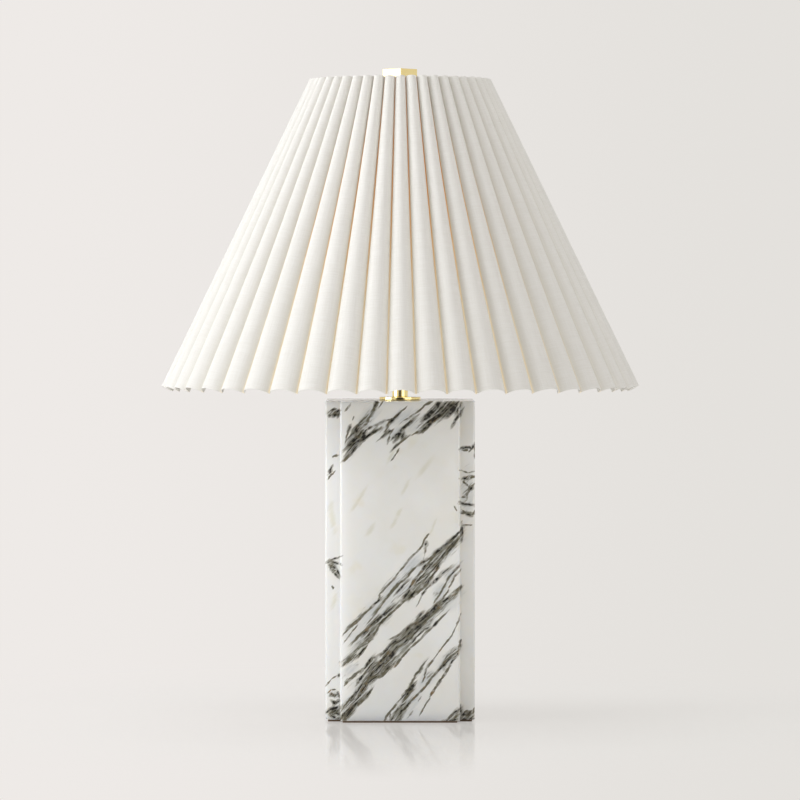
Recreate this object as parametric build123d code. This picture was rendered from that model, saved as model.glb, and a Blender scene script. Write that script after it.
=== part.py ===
from build123d import *
from math import atan2, cos, radians, sin, sqrt, tan
import os

# Column table lamp. A square marble column, notched down its corners and drilled hollow, stands on a
# felt pad. A threaded pipe clamps it to a brass disc, a brass neck, a harp saddle and a lampholder.
# A wire harp stands on the saddle and carries the conical pleated shade, held by a square finial.
# Millimetres, +Z up. The origin is on the table, under the middle of the column. -Y is the front.

# ---- Column and foot
column_width = 145.0
column_height = 309.0
corner_notch = 14.5
column_arris = 2.2
column_top_arris = 1.2
column_bore_dia = 100.0
column_roof = 25.0
felt_thickness = 2.0
felt_inset = 2.5

# ---- Clamping stack under the column
counterbore_ledge = 6.0
base_plate_clearance = 0.5
base_plate_thickness = 3.0
base_washer_dia = 20.0
base_washer_thickness = 1.5
base_nut_across_flats = 17.0
base_nut_height = 5.0
base_nut_chamfer = 1.0
pipe_tail = 1.0
pipe_floor_gap = 14.0
pipe_outer_dia = 10.0
pipe_inner_dia = 6.8
pipe_hole_clearance = 0.15
stone_hole_clearance = 0.6

# ---- Cord hole in the back wall
cord_bore_dia = 7.0
bushing_wall = 1.5
bushing_flange_width = 2.5
bushing_flange_thickness = 2.0
bushing_clearance = 0.1
cord_hole_above_foot = 10.5

# ---- Brass disc and neck
disc_dia = 40.5
disc_thickness = 3.0
neck_dia = 15.5
neck_height = 20.0
turned_edge = 0.4

# ---- Harp saddle, harp and sleeves
saddle_thickness = 2.0
saddle_width = 12.0
saddle_flat_half = 12.0
saddle_rise = 6.0
saddle_shoulder_half = 5.0
harp_foot_spacing = 60.0
saddle_pin_dia = 3.0
saddle_pin_height = 11.0
harp_wire_dia = 3.2
harp_height = 261.5
harp_width = 116.0
harp_upper_width = 104.0
harp_crown_width = 44.0
harp_leg_straight = 53.0
harp_widest_above_leg = 42.0
harp_shoulder_drop = 56.0
harp_bend_radii = (40.0, 60.0, 70.0, 18.0)
ferrule_wall = 1.1
ferrule_height = 16.0
ferrule_cap = 3.0
ferrule_clearance = 0.1
sleeve_height = 14.0
sleeve_wall = 1.1
sleeve_clearance = 0.1

# ---- Harp stud, spider washer and finial
stud_collar_dia = 12.0
stud_collar_above_wire = 4.5
stud_collar_below_wire = 4.0
stud_wire_clearance = 0.05
stud_dia = 6.3
stud_height_above_washer = 12.0
stud_clearance = 0.05
washer_dia = 27.0
washer_thickness = 3.0
washer_hole_clearance = 0.4
finial_side = 24.0
finial_edge = 0.6
finial_bore_spare = 1.5
finial_turn = 47.4

# ---- Shade
shade_bottom_dia = 468.0
shade_top_dia = 177.0
shade_height = 300.0
shade_rim_above_washer = 14.0
pleat_count = 48
pleat_depth = 10.3
cloth_thickness = 0.8
crease_depth = 1.0
pleat_lean_bottom = 0.20
pleat_lean_top = 0.04
frame_wire_dia = 3.0
spider_wire_dia = 2.0
bottom_ring_lift = 12.0
frame_gap = 0.2
rib_count = 6
rib_wire_dia = 2.4
spider_arm_count = 3

# ---- Lampholder
cap_hub_dia = 16.0
cap_hub_height = 8.0
cap_cone_height = 8.0
cap_skirt_height = 7.0
cap_wall = 0.9
shell_dia = 36.8
shell_wall = 0.6
shell_height = 46.5
shell_lip = 0.5
shell_lip_height = 1.5
sleeve_fit = 0.1
insulator_wall = 0.8
insulator_end_gap = 1.5
core_body_dia = 26.0
core_body_height = 15.0
core_flange_height = 4.0
core_above_shell_foot = 1.5
terminal_screw_dia = 3.0
terminal_head_dia = 5.0
terminal_head_height = 1.5
terminal_screw_depth = 4.0
set_screw_dia = 3.0
set_screw_proud = 1.5
screw_slot_width = 0.6
screw_shell_wall = 0.45
screw_shell_floor_hole_dia = 19.0
contact_thickness = 0.8
contact_width = 6.0
contact_rise = 2.8
contact_reach = 8.0
contact_half = 3.0

# ---- Turn switch
switch_shaft_dia = 4.0
switch_shaft_reach = 40.0
switch_shaft_depth = 5.0
switch_shaft_clearance = 0.05
switch_hole_clearance = 0.8
switch_above_cap = 3.5
knob_dia = 14.0
knob_length = 13.0
knob_socket_depth = 8.0
knob_flute_count = 12
knob_flute_dia = 2.2

# ---- Bulb
bulb_dia = 60.0
bulb_length = 109.0
bulb_cap_dia = 25.9
bulb_cap_height = 18.0
bulb_cap_wall = 0.5
bulb_thread_pitch = 3.62
bulb_thread_depth = 0.8
bulb_fit = 0.3
bulb_tip_dia = 6.0
bulb_tip_height = 1.6
bulb_insulator_height = 3.3
bulb_insulator_foot_dia = 9.0
bulb_collar_dia = 27.0
bulb_collar_height = 1.5
bulb_neck_depth = 10.0
bulb_neck_clearance = 0.1
bulb_seam_below_centre = 19.0
bulb_globe_wall = 1.2
led_board_dia = 38.0
led_board_thickness = 1.6

# ---- Heights that follow from the sizes above
column_bottom = felt_thickness
column_top = column_bottom + column_height
counterbore_depth = (pipe_floor_gap + pipe_tail + base_nut_height
                     + base_washer_thickness + base_plate_thickness)
plate_top = column_bottom + counterbore_depth
plate_bottom = plate_top - base_plate_thickness
base_washer_bottom = plate_bottom - base_washer_thickness
base_nut_bottom = base_washer_bottom - base_nut_height
pipe_bottom = base_nut_bottom - pipe_tail
cord_hole_height = column_bottom + cord_hole_above_foot
disc_top = column_top + disc_thickness
neck_top = disc_top + neck_height
saddle_top = neck_top + saddle_thickness
harp_seat = saddle_top + saddle_rise
harp_crown = harp_seat + harp_height
stud_collar_top = harp_crown + stud_collar_above_wire
washer_top = stud_collar_top + washer_thickness
cap_cone_bottom = saddle_top + cap_hub_height
cap_skirt_bottom = cap_cone_bottom + cap_cone_height
cap_top = cap_skirt_bottom + cap_skirt_height
pipe_top = cap_cone_bottom + cap_wall
shell_bottom = cap_skirt_bottom + cap_wall / 2
shell_top = shell_bottom + shell_height
core_bottom = shell_bottom + core_above_shell_foot
core_flange_bottom = core_bottom + core_body_height
core_top = core_flange_bottom + core_flange_height
contact_top = core_top + contact_thickness + contact_rise
bulb_tip_top = contact_top + bulb_tip_height
bulb_cap_bottom = bulb_tip_top + bulb_insulator_height
bulb_cap_top = bulb_cap_bottom + bulb_cap_height
bulb_centre = contact_top + bulb_length - bulb_dia / 2
bulb_seam = bulb_centre - bulb_seam_below_centre
switch_height = cap_top + switch_above_cap

# ---- Radii that follow
pipe_hole_radius = pipe_outer_dia / 2 + pipe_hole_clearance
stone_hole_radius = pipe_outer_dia / 2 + stone_hole_clearance
column_bore_radius = column_bore_dia / 2
counterbore_radius = column_bore_radius + counterbore_ledge
cord_hole_radius = cord_bore_dia / 2 + bushing_wall
ferrule_bore_radius = saddle_pin_dia / 2 + ferrule_clearance
ferrule_radius = ferrule_bore_radius + ferrule_wall
sleeve_bore_radius = ferrule_radius + sleeve_clearance
stud_radius = stud_dia / 2
shell_radius = shell_dia / 2
insulator_radius = shell_radius - shell_wall - sleeve_fit
core_flange_radius = insulator_radius - insulator_wall - sleeve_fit
cap_skirt_inner_radius = shell_radius + sleeve_fit
cap_skirt_radius = cap_skirt_inner_radius + cap_wall
core_body_radius = core_body_dia / 2
bulb_cap_radius = bulb_cap_dia / 2
switch_shaft_radius = switch_shaft_dia / 2
set_screw_radius = set_screw_dia / 2
terminal_screw_radius = terminal_screw_dia / 2

# ---- Shade cone: the angle of its side and the pleats' corner points
shade_rim_top = washer_top + shade_rim_above_washer
shade_rim_bottom = shade_rim_top - shade_height
shade_slope = atan2((shade_bottom_dia - shade_top_dia) / 2, shade_height)
pleat_half_angle = radians(180 / pleat_count)
first_crease_deg = -90.0 - 180.0 / pleat_count


def turned(*points):
    """A solid turned about the lamp's axis from (radius, height) points."""
    return revolve(Plane.XZ * make_face(Polyline(*points, close=True)), Axis.Z)


def tube(outer_radius, inner_radius, bottom, top):
    """A round tube about the lamp's axis."""
    return turned((inner_radius, bottom), (outer_radius, bottom), (outer_radius, top), (inner_radius, top))


def rod(start, end, radius):
    """A straight round rod between two points."""
    line = Line(start, end)
    return extrude(Plane(origin=start, z_dir=line % 0) * Circle(radius), line.length)


def ring(centre_radius, height, wire_radius):
    """A closed wire ring about the lamp's axis."""
    return Pos(0, 0, height) * Torus(centre_radius, wire_radius)


def strip(upper_points, thickness, width):
    """A bent flat strip: its upper line in the XZ plane, given thickness and width."""
    lower_points = [(x, z - thickness) for x, z in reversed(upper_points)]
    side = make_face(Polyline(*upper_points, *lower_points, close=True))
    return extrude(Plane.XZ * side, width / 2, both=True)


# ---- Column, felt and clamping stack
def notched_square(width, arris):
    """The column's plan: a square with a square notch out of each corner, outer corners rounded."""
    inner = width - 2 * corner_notch
    plan = Rectangle(width, inner) + Rectangle(inner, width)
    outer_corners = [v for v in plan.vertices() if max(abs(v.X), abs(v.Y)) > inner / 2 + arris]
    return fillet(outer_corners, arris)


def marble_column():
    """Stone block: drilled hollow from below, with a counterbore, a pipe hole and a cord hole.
    The lead runs from the cord hole under the base plate and up the pipe."""
    block = Pos(0, 0, column_bottom) * extrude(notched_square(column_width, column_arris), column_height)
    block = fillet(block.faces().sort_by(Axis.Z)[-1].outer_wire().edges(), column_top_arris)
    hollow = turned((0, column_bottom), (counterbore_radius, column_bottom), (counterbore_radius, plate_top),
                    (column_bore_radius, plate_top), (column_bore_radius, column_top - column_roof),
                    (stone_hole_radius, column_top - column_roof), (stone_hole_radius, column_top),
                    (0, column_top))
    cord_hole = rod((0, 0, cord_hole_height), (0, column_width, cord_hole_height),
                    cord_hole_radius + bushing_clearance)
    return block - hollow - cord_hole


def felt_pad():
    """Felt glued under the stone, a little smaller than its foot."""
    return extrude(notched_square(column_width - 2 * felt_inset, column_arris), felt_thickness)


def base_plate():
    """Steel disc in the counterbore, pulled up against the stone's ledge."""
    return tube(counterbore_radius - base_plate_clearance, pipe_hole_radius, plate_bottom, plate_top)


def base_washer():
    return tube(base_washer_dia / 2, pipe_hole_radius, base_washer_bottom, plate_bottom)


def base_nut():
    """Hexagon nut on the pipe's lower end, corners chamfered as on a turned nut."""
    flat_radius = base_nut_across_flats / 2
    blank = Pos(0, 0, base_nut_bottom) * extrude(RegularPolygon(flat_radius, 6, major_radius=False),
                                                 base_nut_height)
    cone_radius = flat_radius + 2 * base_nut_chamfer
    cone = turned((0, base_nut_bottom), (flat_radius, base_nut_bottom),
                  (cone_radius, base_nut_bottom + base_nut_chamfer),
                  (cone_radius, base_washer_bottom), (0, base_washer_bottom))
    bore = tube(pipe_outer_dia / 2, 0, base_nut_bottom, base_washer_bottom)
    return (blank & cone) - bore


def threaded_pipe():
    """Hollow threaded pipe, from under the base nut into the lampholder's cap."""
    return tube(pipe_outer_dia / 2, pipe_inner_dia / 2, pipe_bottom, pipe_top)


def cord_bushing():
    """Plastic bushing in the back wall's cord hole, which opens under the base plate."""
    inner_end = (0, counterbore_radius, cord_hole_height)
    back_face = (0, column_width / 2, cord_hole_height)
    flange_end = (0, column_width / 2 + bushing_flange_thickness, cord_hole_height)
    body = rod(inner_end, back_face, cord_hole_radius)
    flange = rod(back_face, flange_end, cord_hole_radius + bushing_flange_width)
    return body + flange - rod(inner_end, flange_end, cord_bore_dia / 2)


def brass_disc():
    """Thin turned plate on the stone, under the neck."""
    radius = disc_dia / 2
    return turned((pipe_hole_radius, column_top), (radius - turned_edge, column_top),
                  (radius, column_top + turned_edge), (radius, disc_top - turned_edge),
                  (radius - turned_edge, disc_top), (pipe_hole_radius, disc_top))


def brass_neck():
    """Round spacer tube between the disc and the saddle."""
    radius = neck_dia / 2
    return turned((pipe_hole_radius, disc_top), (radius - turned_edge, disc_top),
                  (radius, disc_top + turned_edge), (radius, neck_top - turned_edge),
                  (radius - turned_edge, neck_top), (pipe_hole_radius, neck_top))


# ---- Harp
def saddle_pins():
    """The two round pins that stand up from the saddle's ends."""
    half = harp_foot_spacing / 2
    return [rod((x, 0, harp_seat), (x, 0, harp_seat + saddle_pin_height), saddle_pin_dia / 2)
            for x in (-half, half)]


def harp_saddle():
    """Strap across the neck's top. Its ends rise to level shoulders that carry the pins."""
    half = harp_foot_spacing / 2
    outer = half + saddle_shoulder_half
    inner = half - saddle_shoulder_half
    right = [(saddle_flat_half, saddle_top), (inner, harp_seat), (outer, harp_seat)]
    left = [(-x, z) for x, z in reversed(right)]
    strap = strip(left + right, saddle_thickness, saddle_width)
    strap -= tube(pipe_hole_radius, 0, neck_top, saddle_top)
    return strap + saddle_pins()


def harp_path():
    """The wire's line from the left ferrule over the crown to the right one."""
    foot = harp_foot_spacing / 2
    wire_start = harp_seat + ferrule_height - ferrule_cap / 2
    leg_top = harp_seat + harp_leg_straight
    right = [(foot, 0, wire_start), (foot, 0, leg_top),
             (harp_width / 2, 0, leg_top + harp_widest_above_leg),
             (harp_upper_width / 2, 0, harp_crown - harp_shoulder_drop),
             (harp_crown_width / 2, 0, harp_crown)]
    left = [(-x, y, z) for x, y, z in right]
    return FilletPolyline(*left, *reversed(right), radius=harp_bend_radii + harp_bend_radii[::-1])


def harp():
    """Bent wire loop with a ferrule at each foot that drops over a saddle pin."""
    path = harp_path()
    wire = sweep(Plane(origin=path @ 0, z_dir=path % 0) * Circle(harp_wire_dia / 2), path)
    half = harp_foot_spacing / 2
    ferrule_top = harp_seat + ferrule_height
    ferrule_roof = ferrule_top - ferrule_cap
    ferrules = [rod((x, 0, harp_seat), (x, 0, ferrule_top), ferrule_radius) for x in (-half, half)]
    bores = [rod((x, 0, harp_seat), (x, 0, ferrule_roof), ferrule_bore_radius) for x in (-half, half)]
    return wire + ferrules - bores


def harp_sleeve(side):
    """Sliding sleeve over one ferrule. It rests on the saddle's shoulder; side is -1 or 1."""
    sleeve = tube(sleeve_bore_radius + sleeve_wall, sleeve_bore_radius, harp_seat, harp_seat + sleeve_height)
    return Pos(side * harp_foot_spacing / 2, 0, 0) * sleeve


def harp_stud():
    """Collar on the harp's crown with the threaded stud that the finial screws on."""
    collar = tube(stud_collar_dia / 2, 0, harp_crown - stud_collar_below_wire, stud_collar_top)
    wire_hole = rod((-stud_collar_dia, 0, harp_crown), (stud_collar_dia, 0, harp_crown),
                    harp_wire_dia / 2 + stud_wire_clearance)
    stud = tube(stud_radius, 0, stud_collar_top, washer_top + stud_height_above_washer)
    return collar - wire_hole + stud


def finial():
    """Square brass block, tapped from below, turned corner to the front."""
    block = fillet(Box(finial_side, finial_side, finial_side).edges(), finial_edge)
    placed = Pos(0, 0, washer_top + finial_side / 2) * Rot(0, 0, finial_turn) * block
    bore_top = washer_top + stud_height_above_washer + finial_bore_spare
    return placed - tube(stud_radius + stud_clearance, 0, washer_top, bore_top)


# ---- Lampholder
def socket_cap():
    """Spun brass cap: a tapped hub on the pipe, a cone and a skirt round the shell's foot."""
    hub_radius = cap_hub_dia / 2
    bore_radius = pipe_hole_radius
    cap = turned((bore_radius, saddle_top), (hub_radius, saddle_top), (hub_radius, cap_cone_bottom),
                 (cap_skirt_radius, cap_skirt_bottom), (cap_skirt_radius, cap_top),
                 (cap_skirt_inner_radius, cap_top), (cap_skirt_inner_radius, shell_bottom),
                 (hub_radius - cap_wall, pipe_top), (bore_radius, pipe_top))
    return cap - set_screw_shank()


def set_screw_shank():
    """The set screw's thread, from the pipe out through the cap's hub at the back."""
    height = saddle_top + cap_hub_height / 2
    return rod((0, pipe_outer_dia / 2, height), (0, cap_hub_dia / 2 + set_screw_proud, height),
               set_screw_radius)


def socket_set_screw():
    height = saddle_top + cap_hub_height / 2
    end = cap_hub_dia / 2 + set_screw_proud
    slot = Pos(0, end, height) * Box(set_screw_dia, set_screw_proud, screw_slot_width)
    return set_screw_shank() - slot


def switch_bore(clearance):
    """The hole that the switch shaft needs, from the lampholder's middle out to the front."""
    return rod((0, -core_body_radius + switch_shaft_depth, switch_height),
               (0, -switch_shaft_reach, switch_height), switch_shaft_radius + clearance)


def socket_shell():
    """Brass shell with a rolled lip, pressed into the cap's skirt."""
    inner = shell_radius - shell_wall
    lip_bottom = shell_top - shell_lip_height
    shell = turned((inner, shell_bottom), (shell_radius, shell_bottom), (shell_radius, lip_bottom),
                   (shell_radius + shell_lip, lip_bottom + shell_lip),
                   (shell_radius + shell_lip, shell_top), (inner, shell_top))
    return shell - switch_bore(switch_hole_clearance)


def shell_insulator():
    """Fibre sleeve between the brass shell and the live parts."""
    sleeve = tube(insulator_radius, insulator_radius - insulator_wall,
                  shell_bottom, shell_top - insulator_end_gap)
    return sleeve - switch_bore(switch_hole_clearance)


def terminal_screw(side):
    """One wire terminal screw: its head stands on the core's side."""
    height = core_bottom + core_body_height / 2
    head_end = core_body_radius + terminal_head_height
    shank = rod((side * (core_body_radius - terminal_screw_depth), 0, height),
                (side * core_body_radius, 0, height), terminal_screw_radius)
    head = rod((side * core_body_radius, 0, height), (side * head_end, 0, height), terminal_head_dia / 2)
    slot = Pos(side * head_end, 0, height) * Box(terminal_head_height, terminal_head_dia, screw_slot_width)
    return shank + head - slot


def terminal_screws():
    return Compound([terminal_screw(-1), terminal_screw(1)])


def socket_core():
    """Moulded body: a switch housing below and a flange above that carries the contacts."""
    core = turned((0, core_bottom), (core_body_radius, core_bottom), (core_body_radius, core_flange_bottom),
                  (core_flange_radius, core_flange_bottom), (core_flange_radius, core_top), (0, core_top))
    return core - terminal_screw(-1) - terminal_screw(1) - switch_bore(switch_shaft_clearance)


def thread_line(crest_radius, bottom, top):
    """Points of a rounded lamp thread's outline, going up: crest and root by turns."""
    turns = int((top - bottom) / bulb_thread_pitch)
    root_radius = crest_radius - bulb_thread_depth
    quarter = bulb_thread_pitch / 4
    points = [(root_radius, bottom)]
    for turn in range(turns):
        low = bottom + turn * bulb_thread_pitch
        points += [(crest_radius, low + quarter), (crest_radius, low + 2 * quarter),
                   (root_radius, low + 3 * quarter)]
    return points + [(root_radius, top)]


def screw_shell():
    """Threaded contact sleeve riveted on the core. Its thread is in step with the bulb's."""
    top = shell_top - insulator_end_gap
    line = thread_line(bulb_cap_radius + bulb_fit, bulb_cap_bottom, top)
    outer = [(radius + screw_shell_wall, height) for radius, height in line]
    floor = core_top + screw_shell_wall
    floor_hole = screw_shell_floor_hole_dia / 2
    foot_radius = line[0][0]
    inside = [(foot_radius, floor)] + line
    outside = [(foot_radius + screw_shell_wall, core_top)] + outer
    return turned((floor_hole, core_top), *outside, *reversed(inside), (floor_hole, floor))


def centre_contact():
    """Springy brass tongue that presses on the bulb's tip."""
    foot_top = core_top + contact_thickness
    line = [(-contact_reach, foot_top), (-contact_reach + contact_half, foot_top),
            (-contact_half, contact_top), (contact_half, contact_top)]
    return strip(line, contact_thickness, contact_width)


# ---- Turn switch
def switch_shaft():
    """Steel shaft from the switch in the core out to the knob."""
    return rod((0, -core_body_radius + switch_shaft_depth, switch_height),
               (0, -switch_shaft_reach, switch_height), switch_shaft_radius)


def switch_knob():
    """Fluted plastic knob on the shaft's end."""
    plan = Circle(knob_dia / 2)
    plan -= PolarLocations(knob_dia / 2, knob_flute_count) * Circle(knob_flute_dia / 2)
    inner_end = -switch_shaft_reach + knob_socket_depth
    knob = Plane(origin=(0, inner_end, switch_height), z_dir=(0, -1, 0)) * extrude(plan, knob_length)
    return knob - switch_shaft()


# ---- Bulb
def bulb_tip():
    return tube(bulb_tip_dia / 2, 0, contact_top, bulb_tip_top)


def bulb_insulator():
    """Glass insulator between the bulb's tip and its screw cap."""
    return turned((0, bulb_tip_top), (bulb_insulator_foot_dia / 2, bulb_tip_top),
                  (bulb_cap_radius - bulb_thread_depth, bulb_cap_bottom), (0, bulb_cap_bottom))


def bulb_screw_cap():
    """Thin threaded shell of the bulb's cap."""
    outer = thread_line(bulb_cap_radius, bulb_cap_bottom, bulb_cap_top)
    inner_radius = bulb_cap_radius - bulb_thread_depth - bulb_cap_wall
    return turned((inner_radius, bulb_cap_bottom), *outer, (inner_radius, bulb_cap_top))


def bulb_seam_radius():
    """The globe's radius where it meets the housing."""
    return sqrt((bulb_dia / 2) ** 2 - bulb_seam_below_centre ** 2)


def bulb_housing():
    """Plastic housing: a plug in the screw cap, a collar on it and a flare up to the globe."""
    plug_radius = bulb_cap_radius - bulb_thread_depth - bulb_cap_wall - bulb_neck_clearance
    collar_radius = bulb_collar_dia / 2
    collar_top = bulb_cap_top + bulb_collar_height
    seam_radius = bulb_seam_radius()
    flare = Spline((collar_radius, collar_top), (seam_radius, bulb_seam),
                   tangents=[(0.25, 1), (bulb_seam_below_centre, seam_radius)])
    straight = Polyline((seam_radius, bulb_seam), (0, bulb_seam), (0, bulb_cap_top - bulb_neck_depth),
                        (plug_radius, bulb_cap_top - bulb_neck_depth), (plug_radius, bulb_cap_top),
                        (collar_radius, bulb_cap_top), (collar_radius, collar_top))
    return revolve(Plane.XZ * make_face([flare, straight]), Axis.Z)


def bulb_led_board():
    return tube(led_board_dia / 2, 0, bulb_seam, bulb_seam + led_board_thickness)


def bulb_globe():
    """Frosted globe, open below where it sits on the housing."""
    radius = bulb_dia / 2
    shell = Sphere(radius) - Sphere(radius - bulb_globe_wall)
    below = Pos(0, 0, -bulb_seam_below_centre - radius / 2) * Box(bulb_dia, bulb_dia, radius)
    return Pos(0, 0, bulb_centre) * (shell - below)


# ---- Shade
class PleatEnd:
    """One pleat's outline where the cover ends. It lies in a plane square to the pleat's fold lines."""

    def __init__(self, index, ridge_radius, ridge_height, lean):
        middle_deg = first_crease_deg + (index + 0.5) * 360.0 / pleat_count
        radial = Vector(cos(radians(middle_deg)), sin(radians(middle_deg)), 0)
        along = Vector(-radial.Y, radial.X, 0)
        outward = radial * cos(shade_slope) + Vector(0, 0, sin(shade_slope))
        crease_turn = along * (cos(shade_slope) * tan(pleat_half_angle))
        ridge = radial * ridge_radius + Vector(0, 0, ridge_height)
        chord_middle = ridge - outward * pleat_depth
        half_chord = along * (chord_middle.dot(radial) * tan(pleat_half_angle))
        self.creases = [chord_middle - half_chord, chord_middle + half_chord]
        self.outer = self.arch(self.creases, outward * pleat_depth, lean)
        self.knots = [self.creases[0] - (outward - crease_turn) * crease_depth,
                      self.creases[1] - (outward + crease_turn) * crease_depth]
        self.feet = [self.knots[0] + along * cloth_thickness, self.knots[1] - along * cloth_thickness]
        inner_rise = pleat_depth + crease_depth - cloth_thickness
        self.inner = self.arch(self.feet, outward * inner_rise, lean)

    @staticmethod
    def arch(feet, rise, lean):
        """Rounded arch between two feet. Its middle is rise away from the line between them."""
        control_rise = rise * (4 / 3)
        chord = feet[1] - feet[0]
        return Bezier(feet[0], feet[0] + control_rise + chord * lean,
                      feet[1] + control_rise - chord * lean, feet[1])

    def face(self):
        """The cut edge of the cloth over this pleat."""
        right = Polyline(self.creases[1], self.knots[1], self.feet[1])
        left = Polyline(self.feet[0], self.knots[0], self.creases[0])
        return Face(Wire([self.outer, *right.edges(), self.inner, *left.edges()]))


def pleat_faces(index):
    """All faces of one pleat, between the crease before its ridge and the crease after it."""
    bottom = PleatEnd(index, shade_bottom_dia / 2, shade_rim_bottom, pleat_lean_bottom)
    top = PleatEnd(index, shade_top_dia / 2, shade_rim_top, pleat_lean_top)
    faces = [bottom.face(), top.face(),
             Face.make_surface_from_curves(bottom.outer, top.outer),
             Face.make_surface_from_curves(bottom.inner, top.inner)]
    for side in (0, 1):
        bottom_lap = Edge.make_line(bottom.knots[side], bottom.feet[side])
        top_lap = Edge.make_line(top.knots[side], top.feet[side])
        faces.append(Face.make_surface_from_curves(bottom_lap, top_lap))
    return faces


def shade_cover():
    """Stiffened linen cone: rounded pleats with sharp creases, its ends cut square to the folds."""
    return Solid(Shell([face for index in range(pleat_count) for face in pleat_faces(index)]))


def frame_point(height):
    """Radius of the frame wire's centre line at a height, just inside the cover's creases."""
    bottom = PleatEnd(0, shade_bottom_dia / 2, shade_rim_bottom, pleat_lean_bottom).knots[0]
    top = PleatEnd(0, shade_top_dia / 2, shade_rim_top, pleat_lean_top).knots[0]
    bottom_radius = sqrt(bottom.X ** 2 + bottom.Y ** 2)
    top_radius = sqrt(top.X ** 2 + top.Y ** 2)
    share = (height - bottom.Z) / (top.Z - bottom.Z)
    lining_radius = bottom_radius + (top_radius - bottom_radius) * share
    return lining_radius - (frame_gap + frame_wire_dia / 2) / cos(shade_slope)


top_ring_height = washer_top - washer_thickness / 2
bottom_ring_height = shade_rim_bottom + bottom_ring_lift


def shade_top_ring():
    return ring(frame_point(top_ring_height), top_ring_height, frame_wire_dia / 2)


def shade_bottom_ring():
    return ring(frame_point(bottom_ring_height), bottom_ring_height, frame_wire_dia / 2)


def shade_ribs():
    """Straight wires under creases, welded between the two rings. They are thinner than the rings' wire."""
    rib = rod((frame_point(bottom_ring_height), 0, bottom_ring_height),
              (frame_point(top_ring_height), 0, top_ring_height), rib_wire_dia / 2)
    rib = rib - shade_top_ring() - shade_bottom_ring()
    return Compound([Rot(0, 0, first_crease_deg + index * 360.0 / rib_count) * rib
                     for index in range(rib_count)])


def spider_washer():
    """Washer that sits on the harp stud's collar, under the finial."""
    return tube(washer_dia / 2, stud_radius + washer_hole_clearance, stud_collar_top, washer_top)


def spider_arms():
    """Straight wires from the washer's edge out to the top ring, the first towards the back."""
    arm = rod((washer_dia / 2 - 2 * spider_wire_dia, 0, top_ring_height),
              (frame_point(top_ring_height), 0, top_ring_height), spider_wire_dia / 2)
    arm = arm - spider_washer() - shade_top_ring()
    return Compound([Rot(0, 0, 90.0 + index * 360.0 / spider_arm_count) * arm
                     for index in range(spider_arm_count)])


nodes = {
    "felt_pad": felt_pad(),
    "marble_column": marble_column(),
    "base_plate": base_plate(),
    "base_washer": base_washer(),
    "base_nut": base_nut(),
    "cord_bushing": cord_bushing(),
    "threaded_pipe": threaded_pipe(),
    "brass_disc": brass_disc(),
    "brass_neck": brass_neck(),
    "harp_saddle": harp_saddle(),
    "harp": harp(),
    "harp_sleeve_left": harp_sleeve(-1),
    "harp_sleeve_right": harp_sleeve(1),
    "harp_stud": harp_stud(),
    "socket_cap": socket_cap(),
    "socket_set_screw": socket_set_screw(),
    "socket_shell": socket_shell(),
    "shell_insulator": shell_insulator(),
    "socket_core": socket_core(),
    "terminal_screws": terminal_screws(),
    "screw_shell": screw_shell(),
    "centre_contact": centre_contact(),
    "switch_shaft": switch_shaft(),
    "switch_knob": switch_knob(),
    "bulb_tip": bulb_tip(),
    "bulb_insulator": bulb_insulator(),
    "bulb_screw_cap": bulb_screw_cap(),
    "bulb_housing": bulb_housing(),
    "bulb_led_board": bulb_led_board(),
    "bulb_globe": bulb_globe(),
    "shade_cover": shade_cover(),
    "shade_top_ring": shade_top_ring(),
    "shade_bottom_ring": shade_bottom_ring(),
    "shade_ribs": shade_ribs(),
    "spider_arms": spider_arms(),
    "spider_washer": spider_washer(),
    "finial": finial(),
}

os.makedirs("parts", exist_ok=True)
for name, shape in nodes.items():
    export_step(shape, f"parts/{name}.step")
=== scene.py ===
# Column table lamp: a notched marble column, a brass neck and a pleated linen shade on a harp.
# Metres, +Z up, -Y is the front. The lamp stands on the floor at the origin.
import random
from math import atan2, cos, hypot, pi, radians, sin

import bpy
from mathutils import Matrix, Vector


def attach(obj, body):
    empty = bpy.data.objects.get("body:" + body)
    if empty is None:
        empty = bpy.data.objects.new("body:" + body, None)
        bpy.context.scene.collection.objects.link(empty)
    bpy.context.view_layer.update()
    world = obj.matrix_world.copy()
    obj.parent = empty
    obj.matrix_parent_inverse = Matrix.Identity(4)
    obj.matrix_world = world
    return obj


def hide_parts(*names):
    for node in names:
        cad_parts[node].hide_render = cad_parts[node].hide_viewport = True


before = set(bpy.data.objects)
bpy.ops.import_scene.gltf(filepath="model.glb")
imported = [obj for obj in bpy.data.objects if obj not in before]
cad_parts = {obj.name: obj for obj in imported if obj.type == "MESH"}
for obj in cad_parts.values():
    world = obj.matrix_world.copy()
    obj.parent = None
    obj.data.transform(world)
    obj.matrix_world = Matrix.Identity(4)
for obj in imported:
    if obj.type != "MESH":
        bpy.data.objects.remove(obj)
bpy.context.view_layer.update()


# ---- Camera
# Stands 4.6 m in front, level with the shade's lower half, with a long lens tipped down one degree.
camera_place = (0.0, -4.608, 0.399)
camera_target_height = 0.3108
camera_lens = 211.5
camera_tip = atan2(camera_place[2] - camera_target_height, -camera_place[1])
bpy.ops.object.camera_add(location=camera_place, rotation=(pi / 2 - camera_tip, 0, 0))
camera = bpy.context.object
camera.data.lens = camera_lens
camera.data.sensor_width = 36.0
bpy.context.scene.camera = camera


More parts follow.
